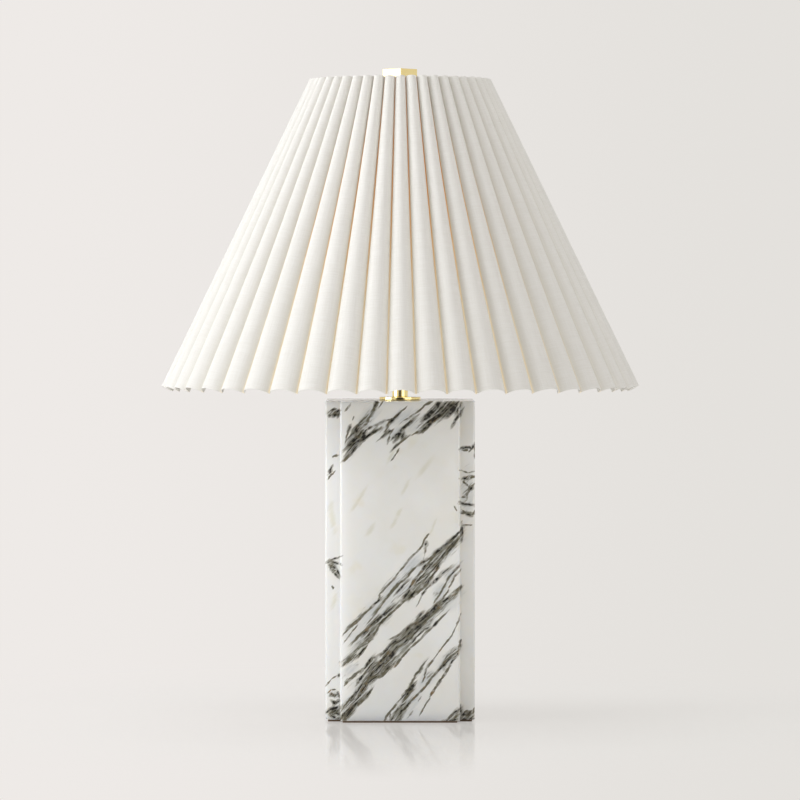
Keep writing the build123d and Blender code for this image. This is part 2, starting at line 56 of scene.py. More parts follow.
# ---- Column
# A square block of white marble with grey and brown veins, sawn with a square notch down each
# corner and honed. The veins climb from lower left to upper right across the front.
def add_node(tree, kind, inputs=(), **settings):
    """One shader node with its settings made. An input is given a value or linked to a socket."""
    made = tree.nodes.new(kind)
    for name, value in settings.items():
        setattr(made, name, value)
    for name, value in dict(inputs).items():
        if isinstance(value, bpy.types.NodeSocket):
            tree.links.new(value, made.inputs[name])
        else:
            made.inputs[name].default_value = value
    return made


def calc(tree, operation, first, second=0.0):
    """A Math node's result."""
    return add_node(tree, "ShaderNodeMath", {0: first, 1: second}, operation=operation).outputs[0]


def vector_calc(tree, operation, first, second=(0.0, 0.0, 0.0)):
    """A Vector Math node's vector result."""
    return add_node(tree, "ShaderNodeVectorMath", {0: first, 1: second}, operation=operation).outputs[0]


def ramp_value(tree, value, low, high, out_low=0.0, out_high=1.0):
    """A smooth step from out_low to out_high as value goes from low to high."""
    return add_node(tree, "ShaderNodeMapRange", {"Value": value, "From Min": low, "From Max": high,
                    "To Min": out_low, "To Max": out_high}, interpolation_type="SMOOTHSTEP").outputs[0]


def tint(tree, share, first, second):
    """A colour between first and second."""
    made = add_node(tree, "ShaderNodeMix", {0: share}, data_type="RGBA")
    for socket, value in ((made.inputs[6], first), (made.inputs[7], second)):
        if isinstance(value, bpy.types.NodeSocket):
            tree.links.new(value, socket)
        else:
            socket.default_value = (*value, 1.0)
    return made.outputs[2]


def noise(tree, point, scale, detail=2.0, roughness=0.5):
    """Noise from 0 to 1 at a point, with features about 1 / scale long."""
    return add_node(tree, "ShaderNodeTexNoise", {"Vector": point, "Scale": scale, "Detail": detail,
                    "Roughness": roughness}, noise_dimensions="3D").outputs[0]


def stretched(tree, point, scale):
    """A point with its three coordinates scaled, so that a noise at it is drawn out."""
    return add_node(tree, "ShaderNodeMapping", {"Vector": point, "Scale": scale}).outputs[0]


mm_per_metre = 1000.0


def new_material(name):
    """A material with its node tree, Principled shader and Object coordinates in millimetres."""
    material = bpy.data.materials.new(name)
    material.use_nodes = True
    tree = material.node_tree
    shader = tree.nodes["Principled BSDF"]
    place = add_node(tree, "ShaderNodeTexCoord").outputs["Object"]
    point = vector_calc(tree, "MULTIPLY", place, (mm_per_metre,) * 3)
    return material, tree, shader, point


def bump(tree, shader, height, depth_mm):
    """Feeds a height from 0 to 1, depth_mm deep, to the shader's Normal."""
    made = add_node(tree, "ShaderNodeBump", {"Height": height, "Distance": depth_mm / mm_per_metre,
                    "Strength": 1.0})
    tree.links.new(made.outputs[0], shader.inputs["Normal"])


def finish_nodes(material, *names):
    """Gives CAD nodes this material in place of their plain one."""
    for name in names:
        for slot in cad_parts[name].material_slots:
            slot.material = material


def new_group(name, inputs, outputs):
    """A shader node group, with the sockets inside it that its named inputs and outputs lead to."""
    group = bpy.data.node_groups.new(name, "ShaderNodeTree")
    for side, sockets in (("INPUT", inputs), ("OUTPUT", outputs)):
        for socket_name, kind in sockets.items():
            group.interface.new_socket(socket_name, in_out=side, socket_type="NodeSocket" + kind)
    return group, group.nodes.new("NodeGroupInput").outputs, group.nodes.new("NodeGroupOutput").inputs


# One stroke of a vein is an ellipse on the front. Along and Across are its two directions, each
# divided by its reach, with the middle's share between them. The result is the square of the
# distance from the middle, 1 on the outline, or Before where an earlier stroke is nearer.
stroke_group, stroke_in, stroke_out = new_group(
    "marble_stroke", {"Point": "Vector", "Along": "Vector", "Across": "Vector", "Before": "Float"},
    {"Nearest": "Float"})
stroke_along, stroke_across = (
    add_node(stroke_group, "ShaderNodeVectorMath", {0: stroke_in["Point"], 1: stroke_in[name]},
             operation="DOT_PRODUCT").outputs["Value"] for name in ("Along", "Across"))
stroke_square = add_node(stroke_group, "ShaderNodeMath", {
    0: stroke_across, 1: stroke_across, 2: calc(stroke_group, "MULTIPLY", stroke_along, stroke_along)},
    operation="MULTIPLY_ADD").outputs[0]
stroke_group.links.new(calc(stroke_group, "MINIMUM", stroke_square, stroke_in["Before"]),
                       stroke_out["Nearest"])


def veins(tree, point, marks):
    """How far a point of the front is from many veins: 0 on a middle line, 1 on an outline.

    A mark is its half width and the (x, z) corners that it runs through, in mm. Each vein's point
    leans on the veins before it by a hair, so that Cycles works them out in turn."""
    in_turn = 0.00001
    stroke_reach = 0.75
    far_away = 9.0
    nearest = far_away
    for half_width, *corners in marks:
        if nearest is far_away:
            vein_point = point
        else:
            vein_point = add_node(tree, "ShaderNodeVectorMath", {
                0: nearest, 1: (in_turn, 0.0, 0.0), 2: point}, operation="MULTIPLY_ADD").outputs[0]
        for (x0, z0), (x1, z1) in zip(corners, corners[1:]):
            length = hypot(x1 - x0, z1 - z0)
            middle_x, middle_z = (x0 + x1) / 2, (z0 + z1) / 2
            step_x, step_z = (x1 - x0) / length, (z1 - z0) / length
            part = add_node(tree, "ShaderNodeGroup", {"Point": vein_point, "Before": nearest},
                            node_tree=stroke_group)
            for name, way_x, way_z, reach in (("Along", step_x, step_z, length * stroke_reach),
                                              ("Across", -step_z, step_x, half_width)):
                part.inputs[name].default_value = (
                    way_x / reach, -(middle_x * way_x + middle_z * way_z) / reach, way_z / reach)
            nearest = part.outputs["Nearest"]
    return calc(tree, "SQRT", nearest)


# The veins of the front and of its two side strips: half width, then corners. First the pale haze
# that fills each band, then its grey masses, and then the brown, the faint and the black lines.
haze_marks = [
    (9.0, (-52, 262), (-38, 284), (-24, 306)), (8.0, (-30, 284), (-8, 290), (18, 301)),
    (8.0, (-12, 277), (8, 284), (30, 296), (48, 306)), (5.0, (54, 296), (59, 308)),
    (9.0, (56, 178), (36, 160), (14, 141), (-6, 120), (-26, 96), (-46, 74)),
    (8.0, (20, 162), (2, 142), (-16, 120), (-36, 96), (-52, 84)), (7.0, (54, 152), (44, 136), (34, 120)),
    (9.0, (56, 124), (34, 106), (12, 86), (-8, 66), (-28, 46), (-44, 26), (-56, 8)),
    (6.0, (-42, 56), (-54, 46)), (7.0, (54, 68), (36, 50), (18, 34), (2, 14), (-6, 3)),
    (6.0, (26, 50), (18, 30), (8, 8)), (5.0, (48, 2), (59, 12)), (5.0, (-69, 299), (-60, 299)),
    (6.0, (-68, 156), (-60, 144)), (6.0, (-69, 28), (-60, 26)), (8.0, (66, 240), (66, 200)),
]
grey_marks = [
    (3.5, (-47, 279), (-39, 288), (-31, 296)), (5.0, (-51, 265), (-43, 274), (-35, 281)),
    (2.4, (-28, 297), (-24, 304), (-22, 311)), (3.0, (-15, 281), (-8, 282)), (3.0, (-4, 275), (4, 280)),
    (2.0, (3, 275), (9, 278)), (3.4, (22, 284), (31, 292), (38, 298)), (3.2, (26, 296), (37, 308)),
    (6.5, (38, 298), (46, 304), (55, 311)), (5.5, (58, 180), (46, 170), (36, 158)),
    (6.0, (38, 162), (28, 148), (18, 134)), (4.5, (20, 136), (12, 127), (5, 119)),
    (2.2, (14, 149), (2, 138), (-8, 127), (-18, 114), (-26, 104)), (3.2, (-6, 114), (-16, 104), (-28, 94)),
    (4.5, (-10, 106), (-22, 94), (-30, 83)), (5.5, (-26, 90), (-34, 78), (-42, 66)),
    (5.0, (-36, 72), (-54, 58)), (2.2, (-36, 104), (-50, 92)), (3.4, (58, 130), (46, 119)),
    (5.0, (46, 120), (34, 110), (24, 101)), (8.0, (28, 101), (14, 90), (0, 79)), (6.5, (4, 82), (-10, 68)),
    (5.5, (-6, 72), (-18, 60), (-30, 50)), (6.0, (-10, 60), (-22, 50), (-33, 39)),
    (4.5, (-30, 44), (-42, 26)), (6.0, (-40, 26), (-57, 6)), (3.0, (10, 78), (0, 66), (-10, 56), (-20, 46)),
    (3.0, (-30, 30), (-42, 17), (-52, 4)), (3.6, (55, 72), (42, 56)), (3.2, (12, 36), (4, 22)),
    (5.0, (6, 18), (-6, 2)), (2.0, (24, 58), (14, 44), (6, 28)), (4.0, (48, 2), (59, 12)),
    (3.2, (-70, 299), (-60, 299)), (3.6, (-68, 155), (-61, 144)), (5.5, (-71, 9), (-59, 10)),
    (2.5, (-67, 25), (-60, 25)), (5.0, (60, 5), (72, 6)), (2.4, (62, 236), (72, 238)),
    (2.2, (60, 203), (71, 202)),
]
brown_marks = [
    (1.4, (-53, 302), (-48, 308)), (0.9, (-46, 292), (-45, 296)), (0.9, (-53, 272), (-50, 283), (-47, 288)),
    (1.3, (-38, 284), (-32, 289), (-30, 295), (-26, 300), (-24, 306), (-22, 311)),
    (0.9, (-20, 306), (-16, 311)), (1.4, (-54, 255), (-48, 261), (-38, 272), (-29, 279), (-21, 284)),
    (1.2, (-35, 281), (-26, 287), (-16, 292)), (0.9, (-16, 291), (-6, 294), (1, 300), (7, 306)),
    (1.1, (-21, 274), (-14, 279), (-8, 284)), (1.3, (-15, 281), (-11, 289), (-2, 297)),
    (1.1, (-12, 270), (-10, 278), (-7, 284)), (1.5, (-6, 265), (0, 271), (7, 276)),
    (0.9, (-8, 254), (-3, 260), (0, 265)), (1.2, (1, 281), (8, 289), (13, 294), (18, 298)),
    (1.1, (4, 292), (14, 299), (24, 307), (32, 312)), (1.2, (13, 279), (21, 284)),
    (2.0, (21, 282), (29, 289), (37, 296)), (1.4, (24, 288), (35, 298), (46, 311)),
    (1.6, (36, 295), (44, 301), (53, 311)), (1.0, (56, 300), (59, 309)), (0.9, (53, 209), (55, 205)),
    (1.0, (21, 170), (24, 177), (28, 182)),
    (1.1, (22, 171), (15, 164), (8, 156), (1, 148), (-6, 139), (-14, 131)),
    (1.4, (-13, 132), (-18, 125), (-21, 118)), (0.8, (25, 171), (23, 161)),
    (1.3, (59, 186), (50, 178), (40, 170), (30, 160), (21, 155)),
    (1.2, (34, 164), (28, 155), (20, 146), (10, 132)),
    (1.1, (14, 149), (6, 140), (-2, 134), (-9, 125), (-16, 116)), (1.3, (57, 178), (50, 169), (44, 161)),
    (1.6, (38, 153), (33, 145), (28, 137), (22, 131), (10, 121)), (0.8, (30, 134), (24, 128), (16, 114)),
    (1.0, (52, 146), (44, 136), (38, 124), (33, 116)), (1.0, (58, 147), (53, 141), (47, 130), (40, 119)),
    (1.6, (58, 131), (52, 124)), (1.4, (-21, 118), (-31, 108), (-42, 98), (-51, 89)),
    (0.9, (-41, 95), (-47, 87), (-54, 78)), (0.9, (-8, 128), (-18, 113), (-28, 100)),
    (1.2, (4, 118), (-7, 108), (-17, 98), (-24, 88), (-31, 77), (-38, 66)),
    (1.4, (-27, 95), (-36, 87), (-46, 77)), (1.2, (-42, 66), (-53, 57)),
    (1.2, (45, 107), (36, 98), (32, 94)), (1.4, (40, 114), (31, 105), (24, 98)),
    (1.4, (21, 106), (14, 96), (5, 88), (-7, 82)), (1.2, (29, 91), (20, 81), (10, 73), (2, 63), (-4, 56)),
    (1.0, (16, 88), (6, 78), (-2, 72)), (1.6, (-8, 76), (-16, 68), (-26, 62), (-33, 54)),
    (1.6, (-33, 54), (-41, 48), (-46, 43), (-51, 41), (-53, 37)), (1.4, (-4, 73), (-10, 62), (-20, 50)),
    (1.4, (-9, 71), (-18, 59), (-28, 47), (-34, 38), (-40, 27)), (1.3, (-26, 58), (-35, 47), (-41, 39)),
    (1.8, (-6, 57), (-14, 49), (-20, 45), (-29, 44)), (1.4, (-30, 43), (-37, 32)),
    (1.3, (-27, 33), (-34, 24), (-41, 17)), (1.8, (-40, 23), (-47, 12), (-54, 3)),
    (0.9, (-47, 25), (-57, 11)), (0.9, (-48, 14), (-56, 5)),
    (1.1, (58, 103), (55, 93), (48, 83), (40, 71), (32, 61), (26, 53), (22, 42)),
    (1.3, (58, 78), (55, 67), (49, 56), (41, 43), (34, 33), (30, 27)), (0.9, (29, 25), (20, 9)),
    (1.4, (48, 63), (40, 54), (30, 43), (24, 35), (20, 30)), (1.1, (19, 51), (15, 47), (10, 36)),
    (1.3, (8, 33), (0, 23), (-8, 13), (-16, 2)), (2.2, (12, 35), (4, 22)),
    (1.7, (20, 31), (11, 21), (4, 11)), (1.0, (21, 26), (18, 21)), (1.0, (13, 11), (9, 6)),
    (1.3, (-9, 9), (-9, 2)), (1.3, (57, 13), (52, 3)), (1.2, (-64, 298), (-62, 299)),
    (1.0, (-62, 296), (-59, 298)), (1.2, (-64, 257), (-60, 259)), (1.1, (-69, 236), (-66, 241)),
    (0.8, (-66, 240), (-63, 243)), (1.2, (-65, 147), (-62, 147)), (1.0, (-69, 152), (-66, 152)),
    (1.2, (-66, 132), (-65, 130)), (0.9, (-72, 34), (-67, 41), (-60, 45)),
    (0.9, (-70, 28), (-66, 31), (-62, 31)), (1.2, (-66, 20), (-61, 18)), (1.0, (-62, 3), (-59, 3)),
    (1.3, (60, 263), (66, 263)), (0.7, (72, 267), (72, 256)), (0.8, (60, 244), (66, 242), (72, 243)),
    (1.1, (68, 237), (72, 238)), (1.0, (61, 233), (68, 227), (72, 231)), (1.3, (68, 227), (65, 222)),
    (1.0, (65, 222), (65, 217)), (0.9, (60, 218), (65, 218)), (0.9, (60, 205), (63, 203), (60, 202)),
    (0.9, (70, 201), (72, 205)), (1.0, (60, 191), (68, 191)), (1.0, (60, 180), (60, 174)),
    (1.1, (63, 10), (68, 11), (68, 7), (63, 7)), (0.9, (71, 8), (72, 12)),
]
faint_marks = [
    (2.0, (-46, 206), (-40, 214), (-33, 227)), (2.2, (-8, 190), (-3, 199), (1, 206)),
    (1.8, (2, 222), (8, 233)), (2.4, (-32, 182), (-25, 192)), (1.5, (30, 184), (35, 197)),
    (2.0, (-12, 252), (-6, 262)), (2.5, (18, 240), (30, 254)), (4.0, (-68, 212), (-64, 188)),
    (3.0, (-66, 112), (-62, 124)),
]
black_marks = [
    (1.4, (-50, 283), (-48, 287)), (1.0, (-46, 279), (-38, 290)), (1.4, (-44, 280), (-39, 285)),
    (1.0, (-50, 267), (-41, 276)), (1.0, (-48, 267), (-41, 272)), (0.8, (-50, 269), (-40, 278), (-34, 284)),
    (0.8, (-48, 263), (-38, 274)), (0.7, (-50, 275), (-44, 282), (-38, 288)), (0.9, (-52, 261), (-46, 268)),
    (1.3, (-48, 261), (-40, 269)), (1.4, (-38, 273), (-34, 279)), (1.1, (-37, 272), (-29, 279)),
    (1.1, (-36, 279), (-33, 283)), (1.0, (-31, 284), (-28, 286)), (1.1, (-27, 281), (-21, 284)),
    (1.2, (-18, 290), (-15, 292)), (1.4, (-24, 307), (-23, 311)), (1.1, (-17, 277), (-12, 281)),
    (1.2, (-9, 290), (-2, 297)), (1.0, (-12, 281), (-8, 283)), (1.3, (-6, 265), (-1, 270)),
    (1.5, (-4, 273), (-1, 278)), (1.2, (-5, 276), (1, 281)), (1.4, (-1, 278), (2, 283)),
    (1.2, (2, 275), (4, 280)), (1.3, (4, 285), (12, 292)), (1.5, (24, 294), (29, 298)),
    (1.3, (26, 298), (33, 304)), (1.6, (30, 300), (38, 310)), (1.1, (25, 289), (35, 298)),
    (1.3, (21, 283), (26, 287)), (1.4, (26, 286), (31, 291)), (1.1, (31, 292), (36, 296)),
    (1.0, (38, 299), (48, 309)), (1.1, (40, 298), (50, 308)), (0.9, (36, 297), (42, 302)),
    (1.2, (43, 297), (53, 307)), (1.5, (45, 296), (50, 300), (55, 306)), (1.0, (37, 302), (45, 310)),
    (0.9, (34, 299), (40, 304)), (1.1, (40, 306), (46, 311)), (1.0, (47, 300), (57, 311)),
    (0.9, (36, 295), (41, 299)), (0.9, (46, 303), (53, 310)), (1.2, (53, 291), (58, 299)),
    (1.0, (55, 301), (58, 306)), (1.6, (24, 171), (26, 175)), (1.4, (59, 186), (50, 178), (41, 170)),
    (1.8, (42, 171), (34, 164)), (1.4, (24, 157), (19, 153)), (1.1, (24, 152), (22, 148)),
    (1.3, (11, 133), (9, 129)), (1.2, (56, 177), (46, 165)), (1.8, (31, 142), (25, 134)),
    (1.2, (38, 153), (33, 146)), (1.5, (48, 150), (39, 143), (31, 135)), (1.3, (57, 152), (50, 144)),
    (1.0, (24, 127), (21, 123)), (1.6, (14, 127), (9, 121)), (1.3, (10, 130), (4, 121)),
    (1.2, (5, 135), (-2, 127)), (1.1, (-4, 141), (-7, 138)), (0.8, (55, 178), (44, 166), (36, 156)),
    (0.7, (40, 158), (30, 146), (22, 136)), (0.7, (34, 158), (24, 146), (16, 136)),
    (0.8, (28, 139), (18, 129)), (1.2, (-19, 119), (-25, 115)), (1.0, (-5, 114), (-16, 104), (-24, 98)),
    (1.2, (-9, 110), (-20, 101)), (1.0, (-12, 107), (-24, 96)), (0.8, (-10, 104), (-20, 95)),
    (1.3, (-21, 101), (-29, 94)), (1.2, (-32, 89), (-36, 85)), (1.5, (-27, 89), (-33, 80)),
    (0.9, (-24, 92), (-30, 83)), (1.2, (-34, 73), (-39, 66)), (1.2, (47, 122), (42, 118)),
    (1.8, (38, 116), (29, 107), (20, 100)), (1.2, (34, 110), (24, 101), (15, 95)),
    (1.3, (22, 107), (18, 103)), (1.3, (10, 94), (5, 88)), (0.9, (30, 104), (20, 95), (10, 86)),
    (1.5, (20, 96), (14, 90)), (1.1, (37, 99), (32, 94)), (1.1, (29, 93), (24, 90)),
    (0.8, (26, 100), (16, 90)), (0.9, (22, 94), (12, 84), (4, 77)), (0.8, (24, 90), (14, 81)),
    (0.8, (14, 91), (2, 81), (-6, 75)), (1.9, (-3, 80), (-7, 75)), (1.2, (7, 81), (3, 76)),
    (0.9, (14, 80), (11, 77)), (1.5, (-8, 76), (-15, 68)), (0.9, (-4, 72), (-14, 60), (-24, 50)),
    (1.0, (-2, 75), (-5, 70)), (1.4, (-27, 62), (-34, 53)), (1.3, (-5, 68), (-10, 62)),
    (0.9, (-12, 66), (-22, 56), (-32, 46)), (0.8, (-8, 60), (-18, 52), (-26, 44)),
    (1.4, (-36, 46), (-40, 41)), (1.5, (-16, 55), (-23, 46)), (1.3, (-9, 56), (-14, 51)),
    (0.8, (-24, 60), (-34, 48)), (1.1, (-26, 49), (-29, 45)), (1.2, (-43, 31), (-46, 25)),
    (0.9, (-22, 46), (-32, 38), (-38, 30)), (1.1, (-28, 33), (-32, 27)), (1.4, (-39, 23), (-45, 16)),
    (1.2, (-44, 16), (-51, 7)), (0.8, (-34, 42), (-42, 30)), (0.8, (-38, 28), (-48, 16), (-56, 6)),
    (0.7, (-34, 28), (-44, 18), (-52, 8)), (1.4, (57, 70), (53, 63)), (1.1, (52, 61), (49, 57)),
    (0.9, (52, 66), (44, 57), (36, 49)), (1.0, (41, 43), (38, 38)), (1.7, (13, 37), (9, 31)),
    (1.5, (10, 33), (5, 25)), (0.8, (8, 32), (0, 22)), (1.1, (5, 19), (0, 16)), (1.1, (0, 16), (-5, 10)),
    (1.4, (10, 21), (4, 12)), (1.4, (2, 14), (1, 8)), (1.5, (5, 10), (-1, 3)), (0.8, (6, 16), (-2, 6)),
    (0.9, (-6, 7), (-9, 2)), (1.3, (46, 2), (52, 10), (57, 14)), (1.2, (44, 2), (54, 3)),
    (1.2, (-69, 296), (-67, 297)), (1.2, (-65, 296), (-62, 297)), (1.1, (-62, 300), (-59, 302)),
    (1.1, (-66, 302), (-63, 303)), (0.9, (-60, 296), (-59, 299)), (1.1, (-68, 242), (-66, 246)),
    (0.8, (-68, 157), (-60, 160)), (1.1, (-71, 154), (-68, 156)), (1.2, (-66, 156), (-60, 154)),
    (1.1, (-65, 151), (-62, 149)), (1.0, (-61, 149), (-59, 143)), (1.0, (-64, 145), (-60, 140)),
    (1.1, (-60, 44), (-59, 46)), (1.1, (-67, 27), (-65, 26)), (1.1, (-60, 28), (-59, 25)),
    (1.3, (-66, 20), (-63, 17), (-59, 20)), (1.5, (-67, 12), (-59, 14)), (1.2, (-72, 9), (-68, 12)),
    (1.3, (-67, 5), (-63, 3)), (1.0, (-63, 8), (-59, 7)), (1.0, (-66, 9), (-61, 11)),
    (1.1, (60, 265), (66, 266), (69, 265), (72, 269)), (1.5, (61, 236), (64, 237)),
    (1.6, (67, 227), (70, 227)), (1.1, (59, 213), (62, 211), (70, 210)), (1.3, (65, 201), (69, 200)),
    (1.2, (60, 190), (60, 181)), (1.2, (59, 13), (60, 8)), (1.6, (61, 8), (63, 7)), (1.5, (60, 3), (66, 2)),
    (1.3, (66, 3), (72, 3)), (1.1, (66, 8), (69, 10)),
]

marble, tree, shader, point = new_material("marble")
coarse_bend_mm = 3.0
fine_bend_mm = 1.5
front_ends_at = -48.0
front_begins_at = -54.0
coarse_bend = vector_calc(tree, "SUBTRACT", add_node(tree, "ShaderNodeTexNoise", {
    "Vector": point, "Scale": 0.05, "Detail": 1.0}).outputs["Color"], (0.5, 0.5, 0.5))
fine_bend = vector_calc(tree, "SUBTRACT", add_node(tree, "ShaderNodeTexNoise", {
    "Vector": point, "Scale": 0.33, "Detail": 2.0}).outputs["Color"], (0.5, 0.5, 0.5))
bent_point = vector_calc(tree, "ADD", point, vector_calc(tree, "ADD",
                         vector_calc(tree, "MULTIPLY", coarse_bend, (coarse_bend_mm,) * 3),
                         vector_calc(tree, "MULTIPLY", fine_bend, (fine_bend_mm,) * 3)))
# X and Z of the front, with 1 between them for each stroke's own middle.
face_point = add_node(tree, "ShaderNodeVectorMath", {0: bent_point, 1: (1.0, 0.0, 1.0), 2: (0.0, 1.0, 0.0)},
                      operation="MULTIPLY_ADD").outputs[0]
split = add_node(tree, "ShaderNodeSeparateXYZ", {0: point})
at_front = ramp_value(tree, split.outputs["Y"], front_ends_at, front_begins_at)

# The stone's grain climbs 44 degrees to the right and runs on into the block.
grain_along = Vector((0.718, 0.0, 0.696))
grain_normal = Vector((-0.648, 0.364, 0.668))
grain_third = Vector((0.253, 0.931, -0.261))


def grain_noise(along_mm, third_mm, across_mm, detail, roughness):
    """Noise stretched along the stone's grain, with one feature about as long as each size."""
    shares = [add_node(tree, "ShaderNodeVectorMath", {0: bent_point, 1: way / size},
                       operation="DOT_PRODUCT").outputs["Value"]
              for way, size in ((grain_along, along_mm), (grain_third, third_mm), (grain_normal, across_mm))]
    place = add_node(tree, "ShaderNodeCombineXYZ", dict(enumerate(shares))).outputs[0]
    return noise(tree, place, 1.0, detail=detail, roughness=roughness)


streak = grain_noise(36.0, 12.0, 2.6, 3.0, 0.55)
fibre = grain_noise(26.0, 9.0, 1.7, 2.0, 0.5)
fibre_ridge = calc(tree, "ABSOLUTE", calc(tree, "SUBTRACT", fibre, 0.5))
long_fibre = grain_noise(60.0, 24.0, 4.0, 2.0, 0.5)
long_ridge = calc(tree, "ABSOLUTE", calc(tree, "SUBTRACT", long_fibre, 0.5))
# How far the streaks and the fibres push a stroke's outline in or out, in half widths.
streak_push = 1.8
fibre_push = 2.2
ragged = calc(tree, "MULTIPLY", calc(tree, "SUBTRACT", streak, 0.5), streak_push)
frayed = calc(tree, "MULTIPLY", calc(tree, "SUBTRACT", fibre, 0.5), fibre_push)


def front_or_block(distance, from_edge, to_middle, block):
    """The mask that a distance from veins gives on the front, and the block's own on all other faces."""
    front = ramp_value(tree, distance, from_edge, to_middle)
    return calc(tree, "ADD", calc(tree, "MULTIPLY", front, at_front),
                calc(tree, "MULTIPLY", block, calc(tree, "SUBTRACT", 1.0, at_front)))


# Behind the front the bands are long sheets in the block, and each face cuts its own slanted stripes.
band = grain_noise(420.0, 260.0, 58.0, 2.0, 0.45)
band_middle = calc(tree, "ADD", calc(tree, "ABSOLUTE", calc(tree, "SUBTRACT", band, 0.5)),
                   calc(tree, "MULTIPLY", calc(tree, "SUBTRACT", streak, 0.5), 0.06))
block_fibres = calc(tree, "MULTIPLY", ramp_value(tree, fibre_ridge, 0.050, 0.012),
                    ramp_value(tree, band_middle, 0.040, 0.022))
block_lines = calc(tree, "MULTIPLY", ramp_value(tree, long_ridge, 0.016, 0.005),
                   ramp_value(tree, band_middle, 0.085, 0.050))
# The lower bands hold less black than the two at the top.
upper_bands_end, lower_bands_begin, thinner_by = 240.0, 190.0, 0.22
thinner_below = ramp_value(tree, split.outputs["Z"], upper_bands_end, lower_bands_begin, 0.0, thinner_by)
black_distance = calc(tree, "ADD", calc(tree, "ADD", veins(tree, face_point, black_marks), frayed),
                      thinner_below)
haze = front_or_block(calc(tree, "ADD", veins(tree, face_point, haze_marks), ragged), 1.15, 0.30,
                      ramp_value(tree, band_middle, 0.070, 0.020))
grey = front_or_block(calc(tree, "ADD", veins(tree, face_point, grey_marks), ragged), 1.15, 0.55,
                      ramp_value(tree, band_middle, 0.030, 0.016))
brown = front_or_block(calc(tree, "ADD", veins(tree, face_point, brown_marks), frayed), 1.15, 0.65,
                       calc(tree, "MAXIMUM", block_fibres, block_lines))
fringe = front_or_block(black_distance, 1.9, 1.2, block_fibres)
black = front_or_block(black_distance, 1.0, 0.70, calc(tree, "MULTIPLY", block_fibres,
                       ramp_value(tree, noise(tree, point, 0.09), 0.42, 0.55)))

ground = tint(tree, ramp_value(tree, noise(tree, point, 0.018, detail=3.0), 0.35, 0.65),
              (0.935, 0.93, 0.91), (0.895, 0.885, 0.855))
warm_spots = ramp_value(tree, noise(tree, point, 0.05, detail=2.0), 0.62, 0.78, 0.0, 0.35)
ground = tint(tree, warm_spots, ground, (0.86, 0.82, 0.69))
# Painted highlight: the stone is painted whiter from x -44 mm towards its left side, where the key lamp
# falls.
ground = tint(tree, ramp_value(tree, split.outputs["X"], -44.0, -58.5), ground, (0.975, 0.97, 0.95))
hazed = tint(tree, calc(tree, "MULTIPLY", haze, ramp_value(tree, streak, 0.35, 0.62, 0.35, 0.95)),
             ground, (0.68, 0.70, 0.715))
grey_tone = tint(tree, noise(tree, point, 0.12), (0.26, 0.26, 0.20), (0.42, 0.42, 0.38))
greyed = tint(tree, calc(tree, "MULTIPLY", grey, ramp_value(tree, streak, 0.43, 0.58, 0.25, 1.0)),
              hazed, grey_tone)
fibre_share = calc(tree, "MULTIPLY", grey, ramp_value(tree, fibre_ridge, 0.055, 0.02, 0.0, 0.85))
greyed = tint(tree, fibre_share, greyed, (0.10, 0.088, 0.052))
stray = calc(tree, "MULTIPLY", calc(tree, "MULTIPLY", ramp_value(tree, long_ridge, 0.028, 0.006), haze),
             ramp_value(tree, noise(tree, point, 0.07), 0.44, 0.60, 0.0, 0.8))
greyed = tint(tree, stray, greyed, (0.20, 0.175, 0.11))
faint = front_or_block(calc(tree, "ADD", veins(tree, face_point, faint_marks), ragged), 1.3, 0.2,
                       ramp_value(tree, noise(tree, point, 0.03, detail=2.0), 0.60, 0.72))
greyed = tint(tree, calc(tree, "MULTIPLY", faint, 0.32), greyed, (0.62, 0.59, 0.42))
rust = ramp_value(tree, noise(tree, point, 0.11, detail=2.0), 0.55, 0.70)
brown_tone = tint(tree, rust, (0.15, 0.135, 0.085), (0.23, 0.15, 0.06))
brown_break = ramp_value(tree, noise(tree, point, 0.2), 0.30, 0.55, 0.5, 0.95)
fringed = calc(tree, "MAXIMUM", brown, calc(tree, "MULTIPLY", fringe, 0.65))
browned = tint(tree, calc(tree, "MULTIPLY", fringed, brown_break), greyed, brown_tone)
black_break = ramp_value(tree, noise(tree, point, 0.34), 0.36, 0.56, 0.35, 0.97)
veined = tint(tree, calc(tree, "MULTIPLY", black, black_break), browned, (0.014, 0.012, 0.009))
tree.links.new(veined, shader.inputs["Base Color"])
vein_depth = calc(tree, "MAXIMUM", brown, black)
honed = ramp_value(tree, noise(tree, point, 0.6, detail=3.0), 0.3, 0.7, 0.08, 0.14)
tree.links.new(calc(tree, "ADD", honed, calc(tree, "MULTIPLY", vein_depth, 0.08)), shader.inputs["Roughness"])
shader.inputs["IOR"].default_value = 1.5
shader.inputs["Subsurface Weight"].default_value = 1.0
shader.inputs["Subsurface Radius"].default_value = (1.0, 0.93, 0.83)
shader.inputs["Subsurface Scale"].default_value = 0.020
bump(tree, shader, calc(tree, "SUBTRACT", 1.0, vein_depth), 0.03)
finish_nodes(marble, "marble_column")


# ---- Felt pad
# Brown pressed felt glued under the stone, so that it can't scratch the table.
felt, tree, shader, point = new_material("felt")
felt_fibre = noise(tree, point, 1.6, detail=5.0, roughness=0.7)
tree.links.new(tint(tree, felt_fibre, (0.13, 0.09, 0.06), (0.27, 0.19, 0.13)), shader.inputs["Base Color"])
shader.inputs["Roughness"].default_value = 0.95
bump(tree, shader, felt_fibre, 0.3)
finish_nodes(felt, "felt_pad")


# ---- Clamping stack
# Zinc-plated steel plate, washer, nut and threaded pipe under the column. They pull the disc,
# neck and lampholder down on the stone.

